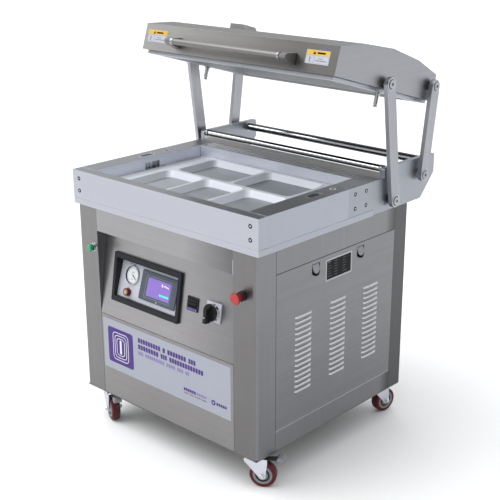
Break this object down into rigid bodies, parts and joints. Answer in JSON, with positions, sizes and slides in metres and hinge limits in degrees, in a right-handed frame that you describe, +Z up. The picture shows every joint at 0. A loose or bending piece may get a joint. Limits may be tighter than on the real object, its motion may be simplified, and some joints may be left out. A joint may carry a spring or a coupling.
{
  "type": "vacuum packing machine",
  "caption": "Tray vacuum skin packing machine on casters: stainless cabinet, aluminium sealing chamber with tray pockets and a lid carried by swinging arms.",
  "frame": {"origin": "on the floor under the centre of the whole machine", "axes": "+Z up, the operator stands on the -Y side, +X to the operator's right"},
  "size_m": [0.8586, 0.882, 1.2949],
  "materials": {
    "stainless": "satin",
    "aluminium": "satin",
    "chrome": "polished",
    "zinc": "bright zinc",
    "dark": "matt",
    "silicone": "matt",
    "black": "satin",
    "white": "satin",
    "slate": "satin",
    "red": "gloss",
    "green": "gloss",
    "orange": "gloss",
    "pu": "satin",
    "blue": "painted",
    "grey": "satin",
    "alu_dark": "matt coated"
  },
  "bodies": {
    "machine_body": {"floor_plate": "stainless", "left_side_frame": "stainless", "right_side_frame": "stainless", "front_top_band": "stainless", "control_panel": "stainless", "front_door": "stainless", "louver_panel_left": "stainless", "louver_panel_right": "stainless", "back_panel": "stainless", "cable_gland": "black", "vacuum_pump": "blue", "electrical_box": "grey", "base_plate": "aluminium", "rim_front_bar": "aluminium", "rim_left_bar": "aluminium", "rim_right_bar": "aluminium", "rim_rear_bar": "aluminium", "tray_mold": "aluminium", "mold_floor": "stainless", "side_plate_left": "aluminium", "side_plate_right": "aluminium", "film_plate": "stainless", "display_bezel": "black", "instrument_plate": "white", "vacuum_gauge": "white", "touch_screen": "slate", "temperature_controller": "black", "switch_plate": "white", "stop_ring": "black"},
    "front_arms": {"front_arm_left": "aluminium", "front_arm_right": "aluminium", "arm_shaft": "chrome"},
    "rear_arms": {"rear_arm_left": "aluminium", "rear_arm_right": "aluminium"},
    "lid": {"lid_cover": "stainless", "lid_frame": "aluminium", "heating_plate": "alu_dark", "lid_seal": "silicone", "valve_box": "stainless", "lid_handle": "stainless", "lock_pin_left": "chrome", "lock_pin_right": "chrome", "upper_pin_left": "chrome", "upper_pin_right": "chrome"},
    "film_roller": {"film_roller": "chrome"},
    "film_shaft": {"film_shaft": "chrome"},
    "switch_knob": {"switch_knob": "black"},
    "power_button": {"power_button": "orange"},
    "stop_button": {"stop_button": "red"},
    "start_button": {"start_button": "green"},
    "front_left_caster": {"front_left_fork": "zinc"},
    "front_left_wheel": {"front_left_wheel": "pu"},
    "front_left_pedal": {"front_left_brake_pedal": "black"},
    "front_right_caster": {"front_right_fork": "zinc"},
    "front_right_wheel": {"front_right_wheel": "pu"},
    "front_right_pedal": {"front_right_brake_pedal": "black"},
    "rear_left_caster": {"rear_left_fork": "zinc"},
    "rear_left_wheel": {"rear_left_wheel": "pu"},
    "rear_right_caster": {"rear_right_fork": "zinc"},
    "rear_right_wheel": {"rear_right_wheel": "pu"}
  },
  "joints": [
    {"name": "lid_lift", "type": "hinge", "parent": "machine_body", "child": "front_arms", "pos_m": [0, 0.1966, 0.7928], "axis": [1, 0, 0], "range_deg": [0, 66.37]},
    {"name": "rear_arm_swing", "type": "hinge", "parent": "machine_body", "child": "rear_arms", "pos_m": [0, 0.3502, 0.8459], "axis": [1, 0, 0], "range_deg": [0, 81.88]},
    {"name": "lid_levelling", "type": "hinge", "parent": "front_arms", "child": "lid", "pos_m": [0, 0.14847, 1.16184], "axis": [1, 0, 0], "range_deg": [-50.87, 0]},
    {"name": "film_roller_spin", "type": "hinge", "parent": "machine_body", "child": "film_roller", "pos_m": [0, 0.183, 0.8905], "axis": [1, 0, 0], "continuous": true},
    {"name": "film_shaft_spin", "type": "hinge", "parent": "machine_body", "child": "film_shaft", "pos_m": [0, 0.391, 0.8795], "axis": [1, 0, 0], "continuous": true},
    {"name": "switch_turn", "type": "hinge", "parent": "machine_body", "child": "switch_knob", "pos_m": [0.2031, -0.38337, 0.53631], "axis": [0, 0.9875, -0.1574], "range_deg": [0, 90]},
    {"name": "power_press", "type": "slide", "parent": "machine_body", "child": "power_button", "axis": [0, 0.956, -0.2933], "range_m": [0, 0.0025], "stiffness_N_per_m": 600},
    {"name": "stop_press", "type": "slide", "parent": "machine_body", "child": "stop_button", "axis": [0, 1, 0], "range_m": [0, 0.005], "stiffness_N_per_m": 1200},
    {"name": "start_press", "type": "slide", "parent": "machine_body", "child": "start_button", "axis": [0, 1, 0], "range_m": [0, 0.004], "stiffness_N_per_m": 600},
    {"name": "front_left_swivel", "type": "hinge", "parent": "machine_body", "child": "front_left_caster", "pos_m": [-0.331, -0.3572, 0.1141], "axis": [0, 0, 1], "continuous": true},
    {"name": "front_left_roll", "type": "hinge", "parent": "front_left_caster", "child": "front_left_wheel", "pos_m": [-0.302, -0.37072, 0.0415], "axis": [0.4226, 0.9063, 0], "continuous": true},
    {"name": "front_left_brake", "type": "hinge", "parent": "front_left_caster", "child": "front_left_pedal", "pos_m": [-0.29384, -0.37453, 0.0911], "axis": [0.4226, 0.9063, 0], "range_deg": [0, 10]},
    {"name": "front_right_swivel", "type": "hinge", "parent": "machine_body", "child": "front_right_caster", "pos_m": [0.331, -0.3572, 0.1141], "axis": [0, 0, 1], "continuous": true},
    {"name": "front_right_roll", "type": "hinge", "parent": "front_right_caster", "child": "front_right_wheel", "pos_m": [0.35871, -0.3412, 0.0415], "axis": [-0.5, 0.866, 0], "continuous": true},
    {"name": "front_right_brake", "type": "hinge", "parent": "front_right_caster", "child": "front_right_pedal", "pos_m": [0.36651, -0.3367, 0.0911], "axis": [-0.5, 0.866, 0], "range_deg": [0, 10]},
    {"name": "rear_left_swivel", "type": "hinge", "parent": "machine_body", "child": "rear_left_caster", "pos_m": [-0.331, 0.2675, 0.1141], "axis": [0, 0, 1], "continuous": true},
    {"name": "rear_left_roll", "type": "hinge", "parent": "rear_left_caster", "child": "rear_left_wheel", "pos_m": [-0.33874, 0.29855, 0.0415], "axis": [-0.9703, -0.2419, 0], "continuous": true},
    {"name": "rear_right_swivel", "type": "hinge", "parent": "machine_body", "child": "rear_right_caster", "pos_m": [0.331, 0.2675, 0.1141], "axis": [0, 0, 1], "continuous": true},
    {"name": "rear_right_roll", "type": "hinge", "parent": "rear_right_caster", "child": "rear_right_wheel", "pos_m": [0.33711, 0.29891, 0.0415], "axis": [-0.9816, 0.1908, 0], "continuous": true}
  ],
  "couplings": [
    {"joint": "rear_arm_swing", "follows": "lid_lift", "ratio": 1.2261},
    {"joint": "lid_levelling", "follows": "lid_lift", "ratio": -0.75894}
  ]
}
